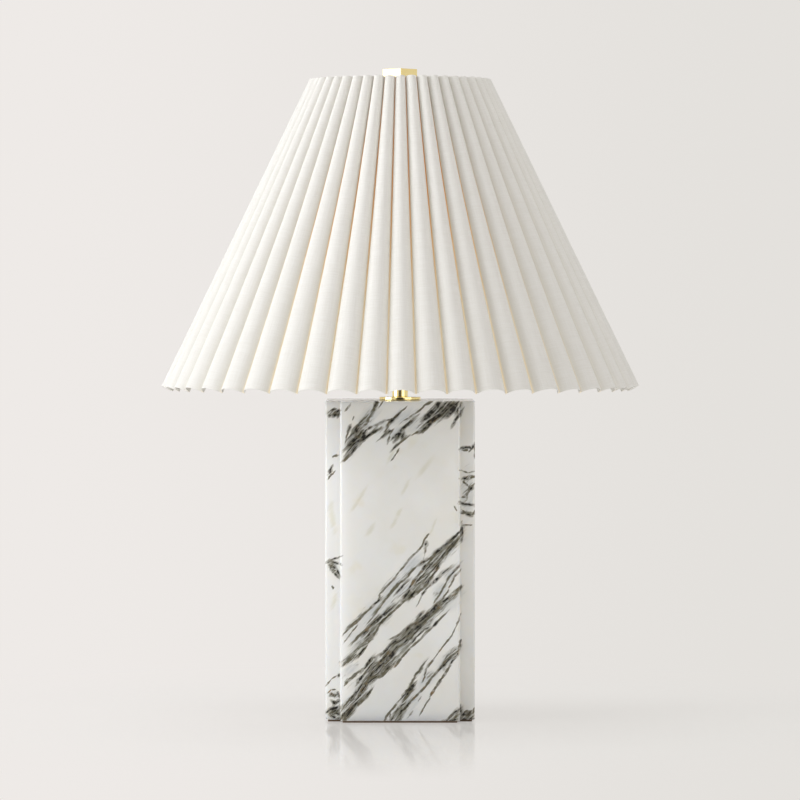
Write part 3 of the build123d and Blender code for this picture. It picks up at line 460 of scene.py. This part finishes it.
# The metals and plastics share one group: a fine grain and the clouds behind it, each from 0 to 1,
# with their fineness per mm and the grain's detail and roughness.
grain_group, grain_in, grain_out = new_group(
    "surface_grain", {"Point": "Vector", "Fineness": "Float", "Cloud Fineness": "Float", "Detail": "Float",
                      "Roughness": "Float"}, {"Grain": "Float", "Clouds": "Float"})
grain_group.links.new(noise(grain_group, grain_in["Point"], grain_in["Fineness"], grain_in["Detail"],
                            grain_in["Roughness"]), grain_out["Grain"])
grain_group.links.new(noise(grain_group, grain_in["Point"], grain_in["Cloud Fineness"]), grain_out["Clouds"])


def grain_metal(name, dark_tone, light_tone, smooth, rough, fineness, depth):
    """Metal with a fine grain: its two tones, least and most roughness, fineness per mm and depth in mm."""
    material, tree, shader, point = new_material(name)
    grain = add_node(tree, "ShaderNodeGroup", {
        "Point": point, "Fineness": fineness, "Cloud Fineness": fineness * 0.08, "Detail": 4.0,
        "Roughness": 0.6}, node_tree=grain_group).outputs
    tree.links.new(tint(tree, grain["Clouds"], dark_tone, light_tone), shader.inputs["Base Color"])
    tree.links.new(ramp_value(tree, grain["Grain"], 0.25, 0.75, smooth, rough), shader.inputs["Roughness"])
    shader.inputs["Metallic"].default_value = 1.0
    bump(tree, shader, grain["Grain"], depth)
    return material


zinc_steel = grain_metal("zinc_steel", (0.50, 0.51, 0.52), (0.66, 0.66, 0.64), 0.25, 0.45, 1.2, 0.02)
finish_nodes(zinc_steel, "base_plate", "base_washer", "base_nut", "threaded_pipe", "socket_set_screw",
             "switch_shaft")


# ---- Cord bushing and other dark plastic
# Black moulded plastic: the bushing in the back wall, the lampholder's core and the switch knob.
def moulded_plastic(name, tone, smooth, fineness):
    """Moulded plastic with a faint eggshell grain and patchy sheen."""
    material, tree, shader, point = new_material(name)
    lighter = tuple(min(1.0, c * 1.12 + 0.004) for c in tone)
    grain = add_node(tree, "ShaderNodeGroup", {
        "Point": point, "Fineness": fineness, "Cloud Fineness": fineness * 0.1, "Detail": 2.0,
        "Roughness": 0.5}, node_tree=grain_group).outputs
    tree.links.new(tint(tree, grain["Clouds"], tone, lighter), shader.inputs["Base Color"])
    rough = smooth + 0.12
    tree.links.new(ramp_value(tree, grain["Grain"], 0.3, 0.7, smooth, rough), shader.inputs["Roughness"])
    bump(tree, shader, grain["Grain"], 0.02)
    return material


black_plastic = moulded_plastic("black_plastic", (0.020, 0.020, 0.021), 0.34, 2.5)
finish_nodes(black_plastic, "cord_bushing", "socket_core", "switch_knob", "bulb_insulator")


# ---- Brass disc and neck
# Turned from brass rod and polished. Only the neck and the thin disc show, between stone and shade.
polished_brass = grain_metal("polished_brass", (0.94, 0.76, 0.33), (0.97, 0.82, 0.42), 0.05, 0.11, 0.9, 0.002)
finish_nodes(polished_brass, "brass_disc", "brass_neck", "finial")


# ---- Saddle, harp and lampholder shells
# Satin brass wire and sheet inside the shade: the harp that carries the shade round the bulb,
# its sleeves and saddle, and the lampholder's cap and shell.
satin_brass = grain_metal("satin_brass", (0.72, 0.54, 0.26), (0.83, 0.65, 0.34), 0.24, 0.38, 2.2, 0.01)
finish_nodes(satin_brass, "harp_saddle", "harp", "harp_sleeve_left", "harp_sleeve_right", "harp_stud",
             "socket_cap", "socket_shell", "terminal_screws", "centre_contact", "spider_arms",
             "spider_washer")

nickel = grain_metal("nickel", (0.62, 0.60, 0.57), (0.74, 0.72, 0.69), 0.16, 0.30, 1.5, 0.006)
finish_nodes(nickel, "screw_shell", "bulb_tip", "bulb_screw_cap")

fibre_board, tree, shader, point = new_material("fibre_sleeve")
board_tone = noise(tree, stretched(tree, point, (1.0, 1.0, 0.15)), 0.8, detail=4.0)
tree.links.new(tint(tree, board_tone, (0.36, 0.27, 0.17), (0.55, 0.44, 0.30)), shader.inputs["Base Color"])
shader.inputs["Roughness"].default_value = 0.85
bump(tree, shader, board_tone, 0.05)
finish_nodes(fibre_board, "shell_insulator")


# ---- Bulb
# A screw-in bulb with a white plastic housing and an opal glass globe, hidden by the shade.
white_plastic = moulded_plastic("white_plastic", (0.80, 0.80, 0.79), 0.30, 1.5)
finish_nodes(white_plastic, "bulb_housing", "bulb_led_board")

opal_glass, tree, shader, point = new_material("opal_glass")
opal_tone = noise(tree, point, 0.12, detail=2.0)
tree.links.new(tint(tree, opal_tone, (0.88, 0.88, 0.86), (0.94, 0.94, 0.93)), shader.inputs["Base Color"])
tree.links.new(ramp_value(tree, noise(tree, point, 3.0), 0.3, 0.7, 0.22, 0.34), shader.inputs["Roughness"])
shader.inputs["Transmission Weight"].default_value = 0.2
shader.inputs["Coat Weight"].default_value = 0.3
finish_nodes(opal_glass, "bulb_globe")


# ---- Shade frame
# White-painted steel wire: two rings and six ribs that hold the cover's creases from inside.
white_wire, tree, shader, point = new_material("white_wire_paint")
paint_tone = noise(tree, point, 0.7, detail=3.0)
tree.links.new(tint(tree, paint_tone, (0.78, 0.76, 0.72), (0.86, 0.85, 0.82)), shader.inputs["Base Color"])
tree.links.new(ramp_value(tree, paint_tone, 0.3, 0.7, 0.38, 0.52), shader.inputs["Roughness"])
bump(tree, shader, paint_tone, 0.03)
finish_nodes(white_wire, "shade_top_ring", "shade_bottom_ring", "shade_ribs")


# ---- Shade cover
# White linen stiffened and folded into 48 rounded pleats with sharp creases between them, and sewn
# into a cone. Its lower end is cut square to the folds, its upper end nearly level. Wires hold the
# creases from inside.
pleat_count = 48
pleat_steps = 16
slant_rows = 30
cover_bottom_radius = 0.234
cover_top_radius = 0.0885
cover_bottom_height = 0.325
cover_top_height = 0.625
pleat_depth = 0.0103
pleat_lean_bottom = 0.20
pleat_lean_top = -0.06
top_crease_drop = 0.35
cloth_thickness = 0.0008
smooth_below = radians(40)
first_crease = radians(-93.35)
spacing_swing = 0.0125  # radians
crease_jitter = radians(0.22)
ridge_jitter = 0.0007
columns = pleat_count * pleat_steps
cover_height = cover_top_height - cover_bottom_height
cover_slope = atan2(cover_bottom_radius - cover_top_radius, cover_height)
pleat_angle = 2 * pi / pleat_count

bpy.ops.object.select_all(action="DESELECT")
bpy.ops.mesh.primitive_cone_add(vertices=columns, radius1=cover_bottom_radius, radius2=cover_top_radius,
                                depth=cover_height, end_fill_type="NOTHING",
                                location=(0, 0, (cover_bottom_height + cover_top_height) / 2))
cover = bpy.context.object
cover.name = "pleated_cover"
bpy.ops.object.transform_apply(location=True)
bpy.ops.object.mode_set(mode="EDIT")
bpy.ops.mesh.select_mode(type="EDGE")
bpy.ops.mesh.select_all(action="DESELECT")
bpy.ops.object.mode_set(mode="OBJECT")
for edge in cover.data.edges:
    ends = [cover.data.vertices[i].co.z for i in edge.vertices]
    edge.select = abs(ends[0] - ends[1]) > cover_height / 2
bpy.ops.object.mode_set(mode="EDIT")
bpy.ops.mesh.subdivide(number_cuts=slant_rows - 1)
bpy.ops.object.mode_set(mode="OBJECT")

fold_chance = random.Random(48)
crease_angles = []
for index in range(pleat_count):
    even = index * pleat_angle
    from_front = even + first_crease + pi / 2
    crease_angles.append(first_crease + even - spacing_swing * sin(4 * from_front)
                         + fold_chance.uniform(-crease_jitter, crease_jitter))
crease_angles.append(crease_angles[0] + 2 * pi)
ridge_rise = [fold_chance.uniform(-ridge_jitter, ridge_jitter) for index in range(pleat_count)]


def pleat_point(index, share, radius, height, lean, drop):
    """A point of one pleat's rounded outline at one end of the cover. Share goes from crease to crease.
    Drop is how far the crease's end lies below the ridge's, 1 where the cloth is cut square to it."""
    middle = (crease_angles[index] + crease_angles[index + 1]) / 2
    radial = Vector((cos(middle), sin(middle), 0))
    outward = radial * cos(cover_slope) + Vector((0, 0, sin(cover_slope) * drop))
    crease_radius = (radius - pleat_depth * cos(cover_slope)) / cos(pleat_angle / 2)
    crease_height = height - pleat_depth * sin(cover_slope) * drop
    start, end = (Vector((crease_radius * cos(a), crease_radius * sin(a), crease_height))
                  for a in (crease_angles[index], crease_angles[index + 1]))
    rise = outward * ((pleat_depth + ridge_rise[index]) * 4 / 3)
    chord = end - start
    controls = (start, start + rise + chord * lean, end + rise - chord * lean, end)
    weights = ((1 - share) ** 3, 3 * (1 - share) ** 2 * share, 3 * (1 - share) * share ** 2, share ** 3)
    return sum((c * w for c, w in zip(controls, weights)), Vector())


grid_place = []
for vertex in cover.data.vertices:
    angle = atan2(vertex.co.y, vertex.co.x)
    column = round(angle / (2 * pi) * columns) % columns
    row = round((vertex.co.z - cover_bottom_height) / cover_height * slant_rows)
    grid_place.append((column, row))
for vertex, (column, row) in zip(cover.data.vertices, grid_place):
    index, step = divmod(column, pleat_steps)
    share = step / pleat_steps
    low = pleat_point(index, share, cover_bottom_radius, cover_bottom_height, pleat_lean_bottom, 1.0)
    high = pleat_point(index, share, cover_top_radius, cover_top_height, pleat_lean_top, top_crease_drop)
    vertex.co = low.lerp(high, row / slant_rows)

# The cloth's own coordinates: U counts pleats round the shade and V runs up the slant from 0 to 1.
for layer in list(cover.data.uv_layers):
    cover.data.uv_layers.remove(layer)
cloth_map = cover.data.uv_layers.new(name="cloth")
for face in cover.data.polygons:
    face_columns = [grid_place[i][0] for i in face.vertices]
    wraps = max(face_columns) - min(face_columns) > 1
    for loop_index, column, vertex_index in zip(face.loop_indices, face_columns, face.vertices):
        if wraps and column == 0:
            column = columns
        cloth_map.data[loop_index].uv = (column / pleat_steps, grid_place[vertex_index][1] / slant_rows)

bpy.ops.object.mode_set(mode="EDIT")
bpy.ops.mesh.select_all(action="SELECT")
bpy.ops.mesh.normals_make_consistent(inside=False)
bpy.ops.object.mode_set(mode="OBJECT")
thickness = cover.modifiers.new("cloth_thickness", "SOLIDIFY")
thickness.thickness = cloth_thickness
thickness.offset = -1.0
bpy.ops.object.modifier_apply(modifier=thickness.name)
bpy.ops.object.shade_smooth_by_angle(angle=smooth_below)

# Woven threads and slubs, made once as a group: a height and a tone from the cloth's coordinates in mm.
weave_group, weave_in, weave_out = new_group(
    "linen_weave", {"Cloth": "Vector", "Threads": "Float"}, {"Height": "Float", "Tone": "Float"})
weave_split = add_node(weave_group, "ShaderNodeSeparateXYZ", {0: weave_in["Cloth"]}).outputs
warp_wave, weft_wave = (calc(weave_group, "SINE", calc(weave_group, "MULTIPLY", weave_split[axis],
                        calc(weave_group, "MULTIPLY", weave_in["Threads"], 2 * pi))) for axis in (0, 1))
over_under = calc(weave_group, "MULTIPLY", warp_wave, weft_wave)
slub_along, slub_up = (
    noise(weave_group, stretched(weave_group, weave_in["Cloth"], slub_scale), 1.0, detail=3.0)
    for slub_scale in ((0.05, 1.1, 1.0), (1.1, 0.04, 1.0)))
slubs = calc(weave_group, "ADD", slub_along, slub_up)
weave_height = calc(weave_group, "ADD", calc(weave_group, "MULTIPLY", over_under, 0.12),
                    calc(weave_group, "MULTIPLY", slubs, 0.5))
weave_group.links.new(weave_height, weave_out["Height"])
weave_group.links.new(ramp_value(weave_group, slubs, 0.7, 1.3), weave_out["Tone"])

linen, tree, shader, point = new_material("pleated_linen")
threads_per_mm = 1.25
cloth_per_pleat_mm = 34.0
cloth_slant_mm = 333.0
# From 0 on a pleat's ridge to 1 in its crease: where the painted beige shade and the painted fold shade begin
# and are full.
crease_shade_begins, crease_shade_full = 0.35, 1.0
fold_shade_begins, fold_shade_full = 0.85, 0.98
# Shares of the slant between which the painted fold shade turns from pale to ochre, a painted warm
# interreflection.
painted_ochre_begins, painted_ochre_full = 0.20, 0.80
cloth_uv = add_node(tree, "ShaderNodeUVMap", uv_map="cloth").outputs[0]
cloth_mm = vector_calc(tree, "MULTIPLY", cloth_uv, (cloth_per_pleat_mm, cloth_slant_mm, 1.0))
weave = add_node(tree, "ShaderNodeGroup", {"Cloth": cloth_mm, "Threads": threads_per_mm},
                 node_tree=weave_group)
uv_split = add_node(tree, "ShaderNodeSeparateXYZ", {0: cloth_uv}).outputs
pleat_share = calc(tree, "FRACT", uv_split["X"])
from_ridge = calc(tree, "MULTIPLY", calc(tree, "ABSOLUTE", calc(tree, "SUBTRACT", pleat_share, 0.5)), 2.0)
# Painted shade: the linen darkens to beige towards each crease.
painted_crease_shade = ramp_value(tree, from_ridge, crease_shade_begins, crease_shade_full, 0.0, 0.6)
# Faces that point away from the axis, so that the inside stays plain. The normal is the world's, so
# the mask is right for the shade as it stands here, and wrong where a pose turns it.
outward = add_node(tree, "ShaderNodeVectorMath", {
    0: add_node(tree, "ShaderNodeNewGeometry").outputs["Normal"],
    1: vector_calc(tree, "NORMALIZE", vector_calc(tree, "MULTIPLY", point, (1.0, 1.0, 0.0)))},
    operation="DOT_PRODUCT").outputs["Value"]
# Painted shade and painted warm interreflection in the creases, on the outside of the cover only.
painted_fold_shade_share = calc(tree, "MULTIPLY", ramp_value(tree, outward, -0.05, 0.10),
                  ramp_value(tree, from_ridge, fold_shade_begins, fold_shade_full))
up_the_fold = ramp_value(tree, uv_split["Y"], painted_ochre_begins, painted_ochre_full)
linen_tone = tint(tree, weave.outputs["Tone"], (0.875, 0.855, 0.815), (0.925, 0.910, 0.880))
# Painted shade: beige towards the creases, then the painted ochre shade in the folds.
linen_with_painted_shade = tint(tree, painted_crease_shade, linen_tone, (0.80, 0.775, 0.71))
painted_fold_shade_tone = tint(tree, up_the_fold, (0.90, 0.83, 0.70), (0.90, 0.50, 0.06))
tree.links.new(tint(tree, painted_fold_shade_share, linen_with_painted_shade, painted_fold_shade_tone), shader.inputs["Base Color"])
# A painted glow: the folds give off a faint warm light of their own, standing in for light through the cloth.
painted_fold_glow = tint(tree, up_the_fold, (0.10, 0.075, 0.035), (0.10, 0.052, 0.0))
tree.links.new(tint(tree, painted_fold_shade_share, (0.0, 0.0, 0.0), painted_fold_glow), shader.inputs["Emission Color"])
shader.inputs["Emission Strength"].default_value = 1.0
shader.inputs["Roughness"].default_value = 0.9
shader.inputs["Sheen Weight"].default_value = 0.15
shader.inputs["Specular IOR Level"].default_value = 0.2
bump(tree, shader, weave.outputs["Height"], 0.12)
cover.data.materials.clear()
cover.data.materials.append(linen)
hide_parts("shade_cover")
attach(cover, "shade")


# ---- Floor, light and background
# A plain pale floor that fades into a pale background, lit by large soft lamps, the main one on
# the left.
background_left = (0.856, 0.823, 0.799)
background_right = (0.775, 0.753, 0.723)
picture_half_slope = 0.085
floor_tone = (0.93, 0.925, 0.91)
floor_clear_from = 0.30
floor_gone_at = 0.65
floor_least_glow = 0.48


def seen_ray(tree):
    """1 for rays that the camera, metal or glass sees the background by, else 0."""
    light_path = add_node(tree, "ShaderNodeLightPath").outputs
    mirrored = calc(tree, "MAXIMUM", light_path["Is Glossy Ray"], light_path["Is Transmission Ray"])
    return calc(tree, "MAXIMUM", light_path["Is Camera Ray"], mirrored)


def background_tone(tree, sideways):
    """The background's colour from the picture's left to its right. Sideways is a sight line's slope."""
    across = ramp_value(tree, sideways, -picture_half_slope, picture_half_slope)
    return tint(tree, across, background_left, background_right)


bpy.ops.object.select_all(action="DESELECT")
bpy.ops.mesh.primitive_circle_add(vertices=96, radius=9.0, fill_type="NGON", location=(0, 0, 0))
floor = bpy.context.object
floor.name = "floor"
floor_material = bpy.data.materials.new("pale_floor")
floor_material.use_nodes = True
tree = floor_material.node_tree
floor_shader = tree.nodes["Principled BSDF"]
floor_shader.inputs["Base Color"].default_value = (*floor_tone, 1.0)
floor_shader.inputs["Roughness"].default_value = 0.08
floor_place = add_node(tree, "ShaderNodeTexCoord").outputs["Object"]
floor_radius = add_node(tree, "ShaderNodeVectorMath", {0: floor_place}, operation="LENGTH").outputs["Value"]
floor_fade = ramp_value(tree, floor_radius, floor_clear_from, floor_gone_at, floor_least_glow, 1.0)
floor_split = add_node(tree, "ShaderNodeSeparateXYZ", {0: floor_place}).outputs
sideways = calc(tree, "DIVIDE", floor_split["X"], calc(tree, "SUBTRACT", floor_split["Y"], camera_place[1]))
floor_glow = add_node(tree, "ShaderNodeEmission", {"Strength": 1.0, "Color": background_tone(tree, sideways)})
floor_mix = add_node(tree, "ShaderNodeMixShader", {0: calc(tree, "MULTIPLY", floor_fade, seen_ray(tree)),
                     1: floor_shader.outputs[0], 2: floor_glow.outputs[0]})
tree.links.new(floor_mix.outputs[0], tree.nodes["Material Output"].inputs["Surface"])
floor.data.materials.append(floor_material)

world = bpy.data.worlds.new("studio")
bpy.context.scene.world = world
world.use_nodes = True
tree = world.node_tree
tree.nodes.clear()
sight_line = add_node(tree, "ShaderNodeTexCoord").outputs["Generated"]
direction = add_node(tree, "ShaderNodeSeparateXYZ", {0: sight_line}).outputs
# Metal also mirrors the unlit room in front of the lamp, as a soft dark patch.
dark_room = calc(tree, "MULTIPLY", add_node(tree, "ShaderNodeLightPath").outputs["Is Glossy Ray"],
                 ramp_value(tree, direction["Y"], -0.90, -0.97))
background = background_tone(tree, direction["X"])
backdrop = add_node(tree, "ShaderNodeBackground", {
    "Color": tint(tree, dark_room, background, (0.03, 0.027, 0.025)), "Strength": 1.0})
ambient = add_node(tree, "ShaderNodeBackground", {"Color": (1.0, 0.985, 0.955, 1.0), "Strength": 0.40})
world_mix = add_node(tree, "ShaderNodeMixShader", {
    0: seen_ray(tree), 1: ambient.outputs[0], 2: backdrop.outputs[0]})
world_out = add_node(tree, "ShaderNodeOutputWorld", {"Surface": world_mix.outputs[0]})

lamp_target = Vector((0, 0, 0.33))
for lamp_name, lamp_place, lamp_size, lamp_power, lamp_tone in (
        ("key_lamp", (-3.3, -1.25, 0.95), 2.6, 82.0, (0.975, 0.99, 1.0)),
        ("fill_lamp", (2.6, -2.4, 1.2), 2.4, 23.0, (1.0, 0.97, 0.92)),
        ("top_lamp", (-0.4, 0.4, 3.2), 2.4, 36.0, (1.0, 1.0, 1.0))):
    bpy.ops.object.light_add(type="AREA", location=lamp_place)
    lamp = bpy.context.object
    lamp.name = lamp_name
    lamp.data.energy = lamp_power
    lamp.data.size = lamp_size
    lamp.data.color = lamp_tone
    lamp.rotation_euler = (lamp_target - Vector(lamp_place)).to_track_quat("-Z", "Y").to_euler()

bpy.context.scene.view_settings.view_transform = "Standard"
